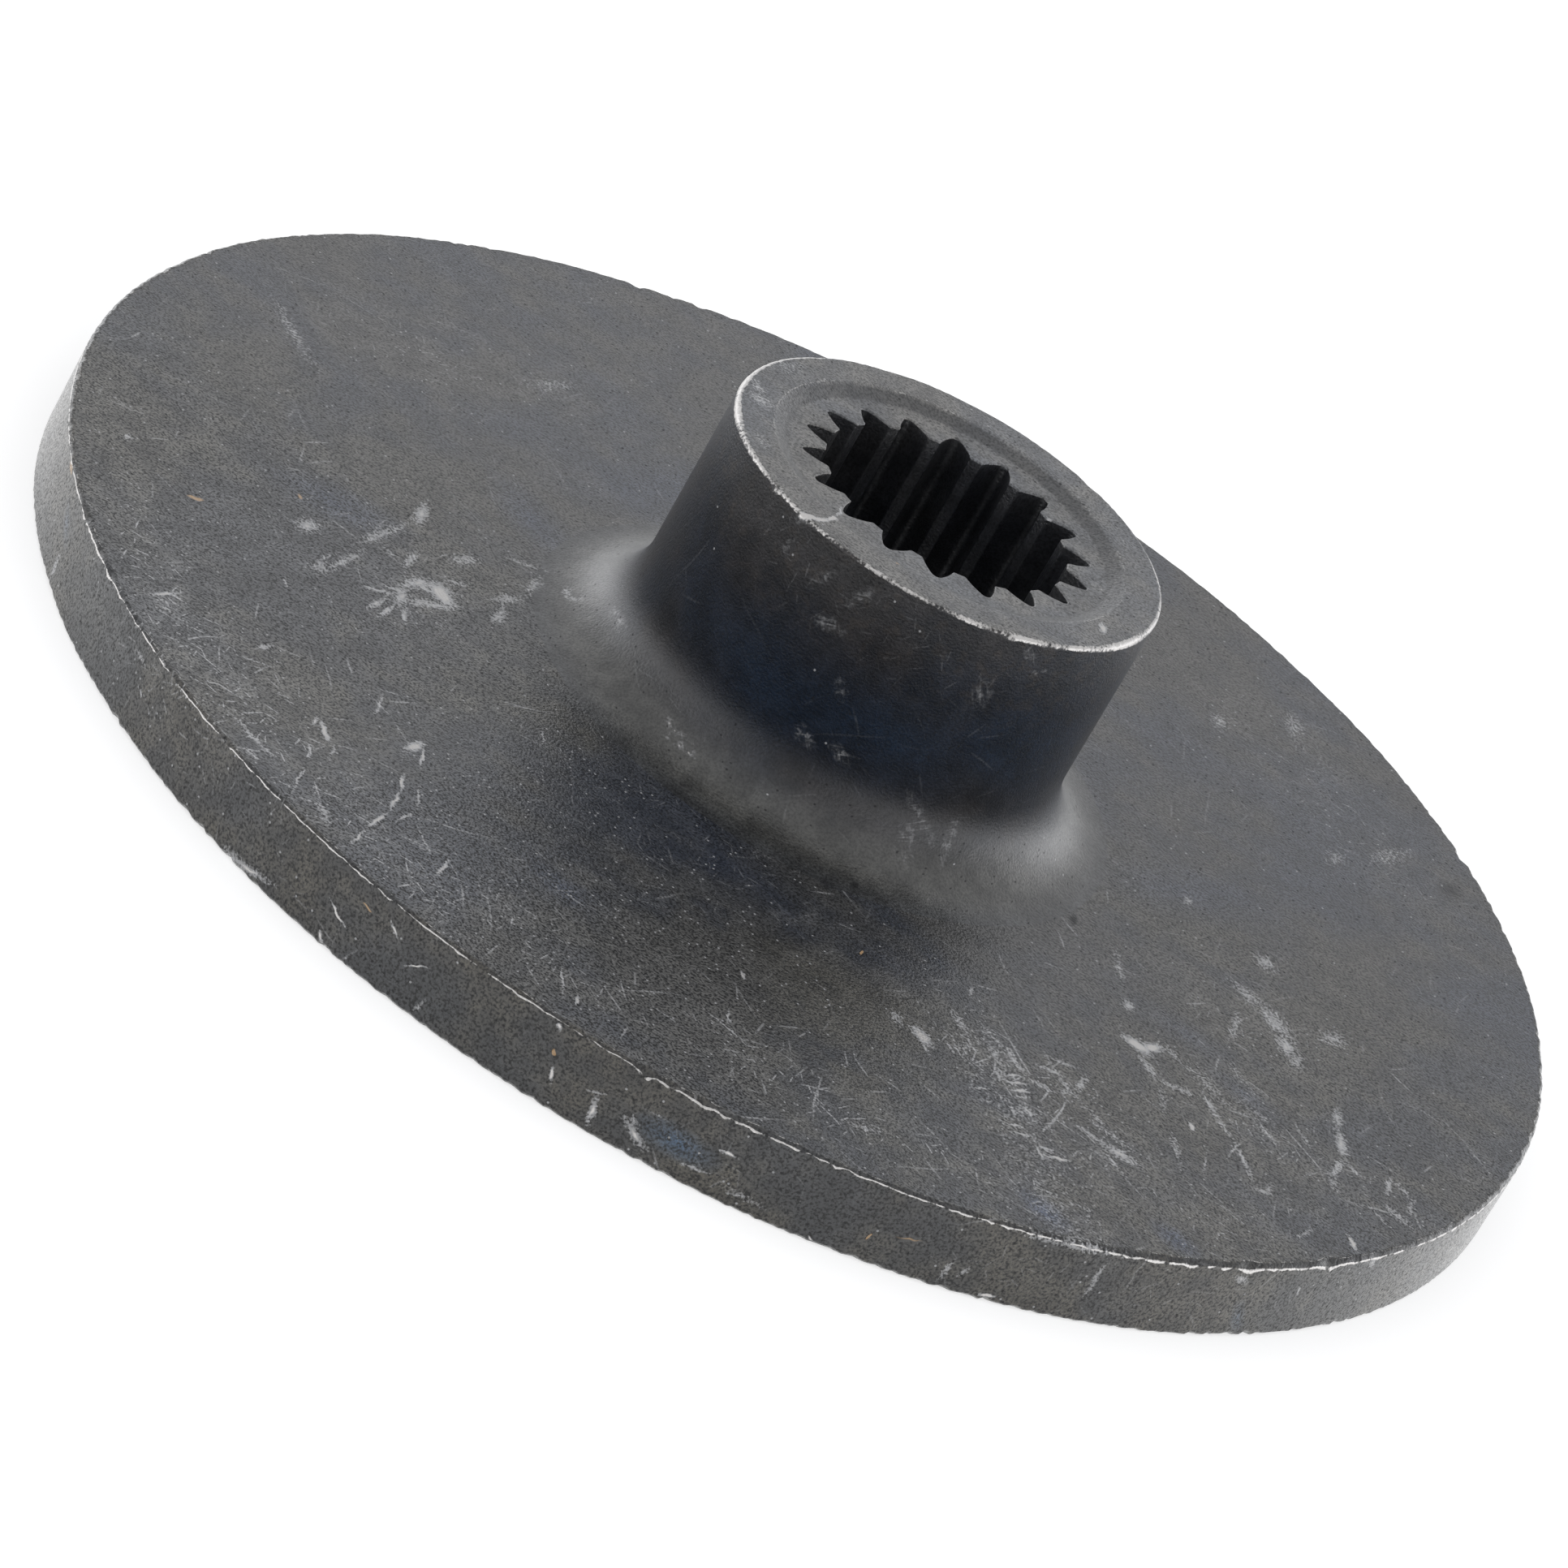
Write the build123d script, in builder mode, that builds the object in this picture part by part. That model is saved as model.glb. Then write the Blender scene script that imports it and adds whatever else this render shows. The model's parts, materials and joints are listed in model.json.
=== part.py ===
"""A brake rotor: a flat friction disc and its splined hub, pressed and sintered as one piece."""

from build123d import *
import os
from math import acos, cos, pi, radians, sin, tan

# Friction disc, in millimetres
disc_diameter = 108.0
disc_thickness = 5.8
rim_edge_break = 0.25

# Hub, standing on the disc's front face
hub_diameter = 31.0
hub_height = 18.35
hub_base_radius = 5.6
hub_edge_break = 0.2

# Shallow recess in the hub's end face
end_land_width = 2.7
recess_slope_width = 1.2
recess_depth = 0.5

# Internal involute spline with rounded roots, 24 teeth to the inch of pitch diameter
spline_teeth = 18
spline_module = 25.4 / 24
pressure_angle = 30.0
tooth_height_inside_pitch = 0.75
space_depth_outside_pitch = 0.96
root_round_rise = 0.18

# The part stands on its back face, with the hub upwards and the axis of the spline on Z
rim_radius = disc_diameter / 2
hub_radius = hub_diameter / 2
overall_height = disc_thickness + hub_height
recess_radius = hub_radius - end_land_width
recess_floor_radius = recess_radius - recess_slope_width
recess_floor_height = overall_height - recess_depth

pitch_radius = spline_teeth * spline_module / 2
base_circle_radius = pitch_radius * cos(radians(pressure_angle))
crest_radius = pitch_radius - tooth_height_inside_pitch
root_radius = pitch_radius + space_depth_outside_pitch
flank_end_radius = root_radius - root_round_rise
flank_middle_radius = (crest_radius + flank_end_radius) / 2
tooth_pitch_angle = 2 * pi / spline_teeth


def involute(angle):
    """The involute of a pressure angle: its tangent less the angle itself."""
    return tan(angle) - angle


def half_space(radius):
    """Half of the angle that a tooth space opens at a radius, half a pitch on the pitch circle."""
    flank = involute(radians(pressure_angle)) - involute(acos(base_circle_radius / radius))
    return tooth_pitch_angle / 4 + flank


def on_circle(radius, angle):
    """The point at a radius and an angle round the spline's axis."""
    return (radius * cos(angle), radius * sin(angle))


def tooth_space(middle):
    """One tooth space: a flank out, the rounded root, a flank back, and the crest of the next tooth."""
    crest_side = half_space(crest_radius)
    flank_side = half_space(flank_middle_radius)
    root_side = half_space(flank_end_radius)
    ThreePointArc(
        on_circle(crest_radius, middle - crest_side),
        on_circle(flank_middle_radius, middle - flank_side),
        on_circle(flank_end_radius, middle - root_side),
    )
    ThreePointArc(
        on_circle(flank_end_radius, middle - root_side),
        on_circle(root_radius, middle),
        on_circle(flank_end_radius, middle + root_side),
    )
    ThreePointArc(
        on_circle(flank_end_radius, middle + root_side),
        on_circle(flank_middle_radius, middle + flank_side),
        on_circle(crest_radius, middle + crest_side),
    )
    ThreePointArc(
        on_circle(crest_radius, middle + crest_side),
        on_circle(crest_radius, middle + tooth_pitch_angle / 2),
        on_circle(crest_radius, middle + tooth_pitch_angle - crest_side),
    )


with BuildPart() as brake_rotor:
    # Half section of disc, hub and recess, turned about the axis
    with BuildSketch(Plane.XZ):
        with BuildLine():
            fillet_start = (hub_radius + hub_base_radius, disc_thickness)
            fillet_end = (hub_radius, disc_thickness + hub_base_radius)
            Polyline(
                (0, recess_floor_height),
                (0, 0),
                (rim_radius - rim_edge_break, 0),
                (rim_radius, rim_edge_break),
                (rim_radius, disc_thickness - rim_edge_break),
                (rim_radius - rim_edge_break, disc_thickness),
                fillet_start,
            )
            RadiusArc(fillet_start, fillet_end, hub_base_radius)
            Polyline(
                fillet_end,
                (hub_radius, overall_height - hub_edge_break),
                (hub_radius - hub_edge_break, overall_height),
                (recess_radius, overall_height),
                (recess_floor_radius, recess_floor_height),
                (0, recess_floor_height),
            )
        make_face()
    revolve(axis=Axis.Z)
    # Splined bore through hub and disc
    with BuildSketch(Plane.XY):
        with BuildLine():
            for tooth in range(spline_teeth):
                tooth_space(tooth * tooth_pitch_angle)
        make_face()
    extrude(amount=overall_height, mode=Mode.SUBTRACT)

brake_rotor.part.label = "brake_rotor"

os.makedirs("parts", exist_ok=True)
export_step(brake_rotor.part, "parts/brake_rotor.step")
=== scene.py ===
"""Looks of a brake rotor: a dark oxide friction disc with a splined hub, on a pale floor in soft light."""

import json
from math import acos, cos, pi, radians, sin, tan

import bpy
import numpy as np
from mathutils import Matrix, Vector


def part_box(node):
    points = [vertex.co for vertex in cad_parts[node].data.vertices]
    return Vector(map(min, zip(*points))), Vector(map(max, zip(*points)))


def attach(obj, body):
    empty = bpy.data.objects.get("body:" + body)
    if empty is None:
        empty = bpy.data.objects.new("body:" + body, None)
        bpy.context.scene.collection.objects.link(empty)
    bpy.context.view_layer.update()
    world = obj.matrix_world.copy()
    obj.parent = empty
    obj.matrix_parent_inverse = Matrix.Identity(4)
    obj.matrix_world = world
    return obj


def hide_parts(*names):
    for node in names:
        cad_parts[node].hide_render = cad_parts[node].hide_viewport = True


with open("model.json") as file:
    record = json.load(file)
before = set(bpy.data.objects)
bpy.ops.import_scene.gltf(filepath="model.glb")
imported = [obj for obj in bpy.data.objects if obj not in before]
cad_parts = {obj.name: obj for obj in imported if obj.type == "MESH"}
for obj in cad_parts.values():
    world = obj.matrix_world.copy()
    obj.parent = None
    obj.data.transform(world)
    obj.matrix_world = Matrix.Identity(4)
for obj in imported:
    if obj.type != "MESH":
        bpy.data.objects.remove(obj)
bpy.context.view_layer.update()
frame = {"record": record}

# Sizes in millimetres, the outer ones from the frame
MM = 0.001
low_corner, high_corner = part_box("brake_rotor")
mount_places = {mount["name"]: mount["pos_m"] for mount in frame["record"]["mounts"]}
rim_radius = min(high_corner.x, high_corner.y, -low_corner.x, -low_corner.y) / MM
hub_top = high_corner.z / MM
disc_top = mount_places["front_face"][2] / MM
hub_radius = 15.5
base_round = 5.6
toe_softness = 1.6
recess_radius = 12.8
recess_floor_radius = 11.6
recess_depth = 0.5
edge_break = 0.25
hub_edge_break = 0.2
bore_break = 0.12
# Circles where the grid passes from the spline's outline to rings, on the back and in the recess
back_ring = 13.0
mouth_ring = 11.1

# Nicks where an edge was struck: degrees round the axis, half width along the edge,
# and depth as a share of the break
rim_nicks = (
    (-87.4, 0.45, 1.5), (-41.5, 0.6, 0.9), (-33.6, 0.5, 1.0), (-148, 0.5, 0.8), (38, 0.5, 1.2), (121, 0.4, 1.0),
)
hub_nicks = ((-128.7, 0.35, 1.6), (-117.5, 0.5, 1.0), (-59, 0.5, 0.9), (62, 0.5, 0.9))

# Internal spline: teeth and radii in millimetres
spline_teeth = 18
pitch_radius = 9.525
crest_radius = 8.775
root_radius = 10.485
flank_end_radius = root_radius - 0.18
pressure_angle = radians(30.0)
crest_corner_softness = 0.05

# Grid: columns round the axis, a whole number to each tooth
columns_per_tooth = 48
columns = spline_teeth * columns_per_tooth
turn = np.arange(columns) * 2 * pi / columns


def involute(angle):
    """The involute function: tangent less angle."""
    return tan(angle) - angle


def half_groove(radius):
    """Half the angle of a groove at a radius: a quarter pitch, plus the involute at the pitch circle,
    less the involute at that radius."""
    base_circle = pitch_radius * cos(pressure_angle)
    return pi / spline_teeth / 2 + involute(pressure_angle) - involute(acos(base_circle / radius))


def spline_outline(angle):
    """Radius of the spline at each angle: involute flanks down to a root arc through the groove's middle,
    and a crest circle between the grooves, joined by a smooth maximum that rounds the crest corners."""
    pitch = 2 * pi / spline_teeth
    from_groove = np.abs((angle + pitch / 2) % pitch - pitch / 2)
    flank_radii = np.linspace(flank_end_radius, crest_radius - 0.45, 60)
    flank_angles = np.array([half_groove(radius) for radius in flank_radii])
    flank = np.interp(from_groove, flank_angles, flank_radii)
    end_height = flank_end_radius * cos(flank_angles[0])
    arc_centre = (root_radius**2 - flank_end_radius**2) / (2 * (root_radius - end_height))
    arc_radius = root_radius - arc_centre
    across = np.minimum(arc_centre * np.sin(from_groove), arc_radius)
    root = arc_centre * np.cos(from_groove) + np.sqrt(arc_radius**2 - across**2)
    groove = np.where(from_groove < flank_angles[0], root, flank)
    soft = crest_corner_softness
    return crest_radius + soft * np.logaddexp(0, (groove - crest_radius) / soft)


def wobble(angle, seed, slowest, fastest, waves=40):
    """An uneven line round the axis: a sum of cosines with whole wave counts between two bounds
    and random phases, with a mean of 0 and a spread of 1."""
    draw = np.random.default_rng(seed)
    counts = draw.integers(slowest, fastest + 1, waves)
    phases = draw.uniform(0, 2 * pi, waves)
    sizes = draw.uniform(0.4, 1.0, waves)
    line = (sizes[:, None] * np.cos(counts[:, None] * angle + phases[:, None])).sum(0)
    return line / line.std()


def dip(angle, degrees, half_width, radius):
    """A smooth bell round one angle, its half width in millimetres along the edge."""
    away = (angle - radians(degrees) + pi) % (2 * pi) - pi
    return np.exp(-((away * radius / half_width) ** 2))


def station(radius=0.0, height=0.0, spline=0.0, inset=0.0, front=0.0, back=0.0, hub=0.0, worn=0.0, facet=0.0):
    """One place on the half section: radius, height, share of the spline's outline, widening of that outline,
    shares of the three wobbling edges, how worn the place is, and how much shade is painted on it."""
    return np.array([radius, height, spline, inset, front, back, hub, worn, facet])


def run(first, last, steps):
    """Stations from the first towards the last, without the last."""
    share = np.arange(steps)[:, None] / steps
    return first * (1 - share) + last * share


def chain(*corners):
    """Stations along a line of corners: each corner goes with its number of equal steps to the next one,
    and the last corner only ends the line."""
    return np.vstack([run(first, last, steps) for (first, steps), (last, _) in zip(corners, corners[1:])])


def base_profile(radius):
    """Height of the base round over the face at each radius: a quarter circle, averaged over a short stretch
    that grows towards the toe, so that the round runs out softly into the face."""
    stretch = toe_softness * np.clip((radius - hub_radius - 1.2) / 3.0, 0, 1)
    places = radius[:, None] + stretch[:, None] * np.linspace(-1, 1, 41)
    gap = np.clip(hub_radius + base_round - places, 0, base_round)
    return (base_round - np.sqrt(base_round**2 - gap**2)).mean(1)


def half_section():
    """The rotor's half section as a closed path of stations: back face outwards, rim, front face inwards,
    base round, hub wall, hub end, recess, and down the bore."""
    r, t, e = rim_radius, disc_top, edge_break
    h, w, b = hub_top, hub_radius, hub_edge_break
    f = hub_top - recess_depth
    toe = w + base_round
    toe_radii = np.linspace(toe + toe_softness, toe, 5)[:-1]
    foot_radii = np.concatenate([toe_radii, w + base_round * (1 - np.sin(np.linspace(0, pi / 2, 17)))])
    foot = np.zeros((len(foot_radii), len(station())))
    foot[:, 0], foot[:, 1] = foot_radii, t + base_profile(foot_radii)
    disc = chain(
        (station(back_ring, 0.45, 1), 1),
        (station(back_ring, 0.13, 1), 1),
        (station(back_ring, 0.03, 1, 0.03, worn=0.3), 1),
        (station(back_ring, 0, 1, bore_break), 4),
        (station(back_ring, 0, 0, bore_break), 6),
        (station(r - 1.0, 0), 1),
        (station(r - 1.3 * e, 0, back=1), 1),
        (station(r - e, 0, back=1, worn=0.15), 1),
        (station(r - 0.8 * e, 0.12 * e, back=1, worn=0.3), 2),
        (station(r - 0.12 * e, 0.8 * e, back=1, worn=0.3), 1),
        (station(r, e, back=1, worn=0.2), 1),
        (station(r, 1.4 * e, back=1), 1),
        (station(r, 1.0), 6),
        (station(r, t - 1.4), 1),
        (station(r, t - 1.35 * e, front=1), 1),
        (station(r, t - 1.05 * e, front=1, worn=0.8), 1),
        (station(r - 0.12 * e, t - 0.85 * e, front=1, worn=1), 1),
        # The chamfer of the front edge gets painted shade, a dark band
        (station(r - 0.3 * e, t - 0.65 * e, front=1, facet=0.8), 2),
        (station(r - 0.85 * e, t - 0.12 * e, front=1, facet=1), 1),
        (station(r - 1.1 * e, t, front=1, worn=0.45), 1),
        (station(r - 1.6 * e, t, front=0.6, worn=0.1), 1),
        (station(r - 1.4, t), 9),
        (station(toe + toe_softness + 0.5, t), 1),
        (station(toe + toe_softness, t), 0),
    )
    hub = chain(
        (station(w, t + base_round + 0.5), 8),
        (station(w, h - 1.0), 1),
        (station(w, h - 1.3 * b, hub=1), 1),
        (station(w, h - b, hub=1, worn=0.7), 2),
        (station(w - 0.3 * b, h - 0.3 * b, hub=1, worn=1), 2),
        (station(w - b, h, hub=1, worn=0.7), 1),
        (station(w - 1.3 * b, h, hub=1), 1),
        (station(w - 1.0, h), 3),
        (station(recess_radius + 0.1, h), 1),
        (station(recess_radius, h - 0.01, worn=0.55), 1),
        (station(recess_radius - 0.12, h - 0.05, worn=0.2), 1),
        # The recess wall gets painted shade, a dark band all round
        (station(recess_radius - 0.3, h - 0.125, facet=0.9), 3),
        (station(recess_floor_radius + 0.1, f + 0.03, facet=0.9), 1),
        (station(recess_floor_radius - 0.1, f), 1),
        (station(mouth_ring, f, 0, bore_break), 4),
        (station(mouth_ring, f, 1, bore_break), 1),
        (station(mouth_ring, f - 0.03, 1, 0.03, worn=0.3), 1),
        (station(mouth_ring, f - 0.13, 1), 9),
        (station(back_ring, 0.45, 1), 0),
    )
    return np.vstack([disc, foot, hub]).T


def edge_sizes(angle):
    """How far each edge is broken round the rotor, as a share of its nominal break: a wobbling line
    round 1 with single nicks where the edge was struck."""
    front = np.exp(0.18 * wobble(angle, 11, 3, 24) + 0.22 * wobble(angle, 12, 80, 400))
    front = 0.72 * front + 0.75 * dip(angle, -40, 18.0, rim_radius)
    for degrees, half_width, depth in rim_nicks:
        front = front + depth * dip(angle, degrees, half_width, rim_radius)
    back = np.exp(0.14 * wobble(angle, 21, 5, 40) + 0.22 * wobble(angle, 22, 120, 420))
    hub = np.exp(0.12 * wobble(angle, 31, 3, 20) + 0.08 * wobble(angle, 32, 30, 160))
    hub = hub + 0.8 * dip(angle, 180, 8.0, hub_radius) + 0.7 * dip(angle, -18, 7.0, hub_radius)
    for degrees, half_width, depth in hub_nicks:
        hub = hub + depth * dip(angle, degrees, half_width, hub_radius)
    return np.clip(front, 0.3, 3.2), np.clip(back, 0.4, 2.4), np.clip(hub, 0.4, 3.0)


def rotor_mesh():
    """The whole rotor as one closed grid, angle by section: each station's radius is its circle blended into
    the spline's outline, and near an edge its distance from the sharp corner is scaled by that edge's size.
    Two numbers go with each point: how far it is rubbed bare and how much shade is painted on it."""
    columns_of_stations = (column[:, None] for column in half_section())
    radius, height, spline, inset, front, back, hub, worn, facet = columns_of_stations
    outline = spline_outline(turn)[None, :]
    front_size, back_size, hub_size = (size[None, :] for size in edge_sizes(turn))
    r = radius * (1 - spline) + (outline + inset) * spline
    z = np.broadcast_to(height, r.shape).copy()
    for share, size, corner_radius, corner_height in (
        (front, front_size, rim_radius, disc_top),
        (back, back_size, rim_radius, 0.0),
        (hub, hub_size, hub_radius, hub_top),
    ):
        scale = 1 + share * (size - 1)
        near = share > 0
        r = np.where(near, corner_radius - (corner_radius - r) * scale, r)
        z = np.where(near, corner_height - (corner_height - z) * scale, z)
    points = np.stack([r * np.cos(turn), r * np.sin(turn), z], -1) * MM
    rubbed = np.clip(0.9 + 0.2 * wobble(turn, 41, 8, 60) + 0.34 * wobble(turn, 42, 90, 430), 0.1, 1.4)
    hub_rubbed = 0.62 + 0.42 * dip(turn, 175, 9.0, hub_radius) + 0.3 * dip(turn, -20, 8.0, hub_radius)
    hub_rubbed = hub_rubbed + 0.14 * wobble(turn, 44, 4, 30) + 0.07 * wobble(turn, 45, 60, 300)
    hub_rubbed = np.clip(hub_rubbed, 0.3, 1.3)
    # Painted shade on the front edge's chamfer: strongest round -45 degrees and faint elsewhere, and full on
    # the hub's recess wall
    shade = 0.2 + 0.8 * dip(turn, -45, 27.0, rim_radius) + 0.12 * wobble(turn, 43, 6, 80)
    on_the_hub = z > disc_top + 1
    shade = np.where(on_the_hub, 1.0, shade)
    return points, worn * np.where(on_the_hub, hub_rubbed, rubbed), np.clip(facet * shade, 0, 1)


def grid_object(name, points, **numbers):
    """A mesh from a grid of points closed both ways: each cell is one face with its zone's finish,
    and each named array is kept per point."""
    rows, across = points.shape[:2]
    index = np.arange(rows * across).reshape(rows, across)
    after = np.roll(index, -1, 1)
    cells = np.stack([index, after, np.roll(after, -1, 0), np.roll(index, -1, 0)], -1).reshape(-1, 4)
    mesh = bpy.data.meshes.new(name)
    mesh.vertices.add(rows * across)
    mesh.vertices.foreach_set("co", points.astype(np.float32).ravel())
    mesh.loops.add(cells.size)
    mesh.loops.foreach_set("vertex_index", cells.astype(np.int32).ravel())
    mesh.polygons.add(len(cells))
    mesh.polygons.foreach_set("loop_start", np.arange(0, cells.size, 4, dtype=np.int32))
    mesh.polygons.foreach_set("use_smooth", np.ones(len(cells), bool))
    middles = points.reshape(-1, 3)[cells].mean(1) / MM
    mesh.polygons.foreach_set("material_index", zone_at(*middles.T).astype(np.int32))
    for label, values in numbers.items():
        kept = mesh.attributes.new(label, "FLOAT", "POINT")
        kept.data.foreach_set("value", values.astype(np.float32).ravel())
    mesh.update(calc_edges=True)
    mesh.validate()
    made = bpy.data.objects.new(name, mesh)
    bpy.context.scene.collection.objects.link(made)
    return made


class Finish:
    """A node tree: each method adds a node and gives back the socket with its result."""

    def __init__(self, tree):
        self.nodes = tree.nodes
        self.links = tree.links
        self.nodes.clear()

    def node(self, kind, feeds, **settings):
        made = self.nodes.new("ShaderNode" + kind)
        for name, value in settings.items():
            setattr(made, name, value)
        for socket, value in feeds.items():
            if isinstance(value, bpy.types.NodeSocket):
                self.links.new(value, made.inputs[socket])
            else:
                made.inputs[socket].default_value = value
        return made

    def math(self, operation, a, b=0.0, c=0.0, clamp=False):
        return self.node("Math", {0: a, 1: b, 2: c}, operation=operation, use_clamp=clamp).outputs[0]

    def vector(self, operation, a, b=(0.0, 0.0, 0.0)):
        made = self.node("VectorMath", {0: a, 1: b}, operation=operation)
        return made.outputs["Value" if operation in ("LENGTH", "DOT_PRODUCT", "DISTANCE") else "Vector"]

    def ramp(self, value, start, end, low=0.0, high=1.0, smooth=True):
        kind = "SMOOTHSTEP" if smooth else "LINEAR"
        feeds = {0: value, 1: start, 2: end, 3: low, 4: high}
        return self.node("MapRange", feeds, interpolation_type=kind).outputs[0]

    def noise(self, at, size, detail=2.0, roughness=0.5, colour=False):
        feeds = {"Vector": at, "Scale": 1.0 / size, "Detail": detail, "Roughness": roughness}
        return self.node("TexNoise", feeds).outputs[1 if colour else 0]

    def blend(self, share, a, b, way="MIX"):
        return self.node("Mix", {0: share, 6: a, 7: b}, data_type="RGBA", blend_type=way).outputs[2]

    def combine(self, x=0.0, y=0.0, z=0.0):
        return self.node("CombineXYZ", {0: x, 1: y, 2: z}).outputs[0]

    def turned(self, vector, angle):
        feeds = {"Vector": vector, "Angle": angle}
        return self.node("VectorRotate", feeds, rotation_type="Z_AXIS").outputs[0]


def random_strokes(finish, sheet, cell, half_length, half_width, share, shift):
    """Short scratches at random: one to a cell of a 2-D cell pattern, turned by the cell's random colour,
    shaped as a long thin bell, and kept in a share of the cells only."""
    at = finish.vector("ADD", finish.vector("MULTIPLY", sheet, (1 / cell,) * 3), (shift, shift * 1.7, 0.0))
    cells = finish.node("TexVoronoi", {"Vector": at, "Scale": 1.0}, voronoi_dimensions="2D")
    draw = finish.node("SeparateColor", {0: cells.outputs["Color"]})
    inside = finish.vector("SUBTRACT", at, cells.outputs["Position"])
    angle = finish.math("MULTIPLY", draw.outputs[0], 2 * pi)
    turned = finish.turned(inside, angle)
    local = finish.vector("MULTIPLY", turned, (cell / half_length, cell / half_width, 0.0))
    bell = finish.node("TexGradient", {0: local}, gradient_type="SPHERICAL").outputs[1]
    kept = finish.math("LESS_THAN", draw.outputs[1], share)
    strength = finish.math("MULTIPLY_ADD", draw.outputs[2], 0.7, 0.3)
    return finish.math("MULTIPLY", bell, finish.math("MULTIPLY", kept, strength))


def streaks(finish, sheet, degrees, length, width):
    """Fine parallel streaks: noise on the sheet turned by an angle and stretched along it."""
    drawn = finish.vector("MULTIPLY", finish.turned(sheet, radians(degrees)), (1 / length, 1 / width, 0.0))
    return finish.ramp(finish.noise(drawn, 1.0, 1.0, 0.6), 0.5, 0.72)


def placed_mark(finish, at, flat, start, end, normal, half_width, strength):
    """One mark from start to end on a surface with that normal: a bell that falls from its middle to 0 on an
    ellipsoid round the line, flat against the surface; on the flat face it has no limit in depth."""
    along = Vector(end) - Vector(start)
    side = Vector(normal).cross(along).normalized()
    axes = Matrix((along.normalized(), side, along.cross(side).normalized())).transposed()
    bell = finish.node("TexGradient", {0: at}, gradient_type="SPHERICAL")
    bell.texture_mapping.vector_type = "TEXTURE"
    bell.texture_mapping.translation = (Vector(start) + Vector(end)) / 2
    bell.texture_mapping.rotation = axes.to_euler("XYZ")
    depth = 500.0 if flat else max(1.0, half_width)
    bell.texture_mapping.scale = (along.length / 2 + half_width, half_width, depth)
    return finish.math("MULTIPLY", bell.outputs[1], strength)


def strongest_mark(finish, at, flat, marks):
    """The strongest of several placed marks at each point, each compared as soon as it is made."""
    found = 0.0
    for mark in marks:
        found = finish.math("MAXIMUM", placed_mark(finish, at, flat, *mark), found)
    return found


def on_face(x1, y1, x2, y2, half_width, strength):
    """A mark on the disc's front face, in millimetres across the face."""
    return (x1, y1, disc_top), (x2, y2, disc_top), (0, 0, 1), half_width, strength


def on_end(x1, y1, x2, y2, half_width, strength):
    """A mark on the hub's end face, in millimetres across the face."""
    return (x1, y1, hub_top), (x2, y2, hub_top), (0, 0, 1), half_width, strength


def on_wall(radius):
    """Marks on an upright round wall: degrees round the axis and height at both ends."""
    def mark(turn1, z1, turn2, z2, half_width, strength):
        one, two, middle = radians(turn1), radians(turn2), radians((turn1 + turn2) / 2)
        start = (radius * cos(one), radius * sin(one), z1)
        end = (radius * cos(two), radius * sin(two), z2)
        return start, end, (cos(middle), sin(middle), 0), half_width, strength
    return mark


on_rim = on_wall(rim_radius)
on_hub = on_wall(hub_radius)

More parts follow.
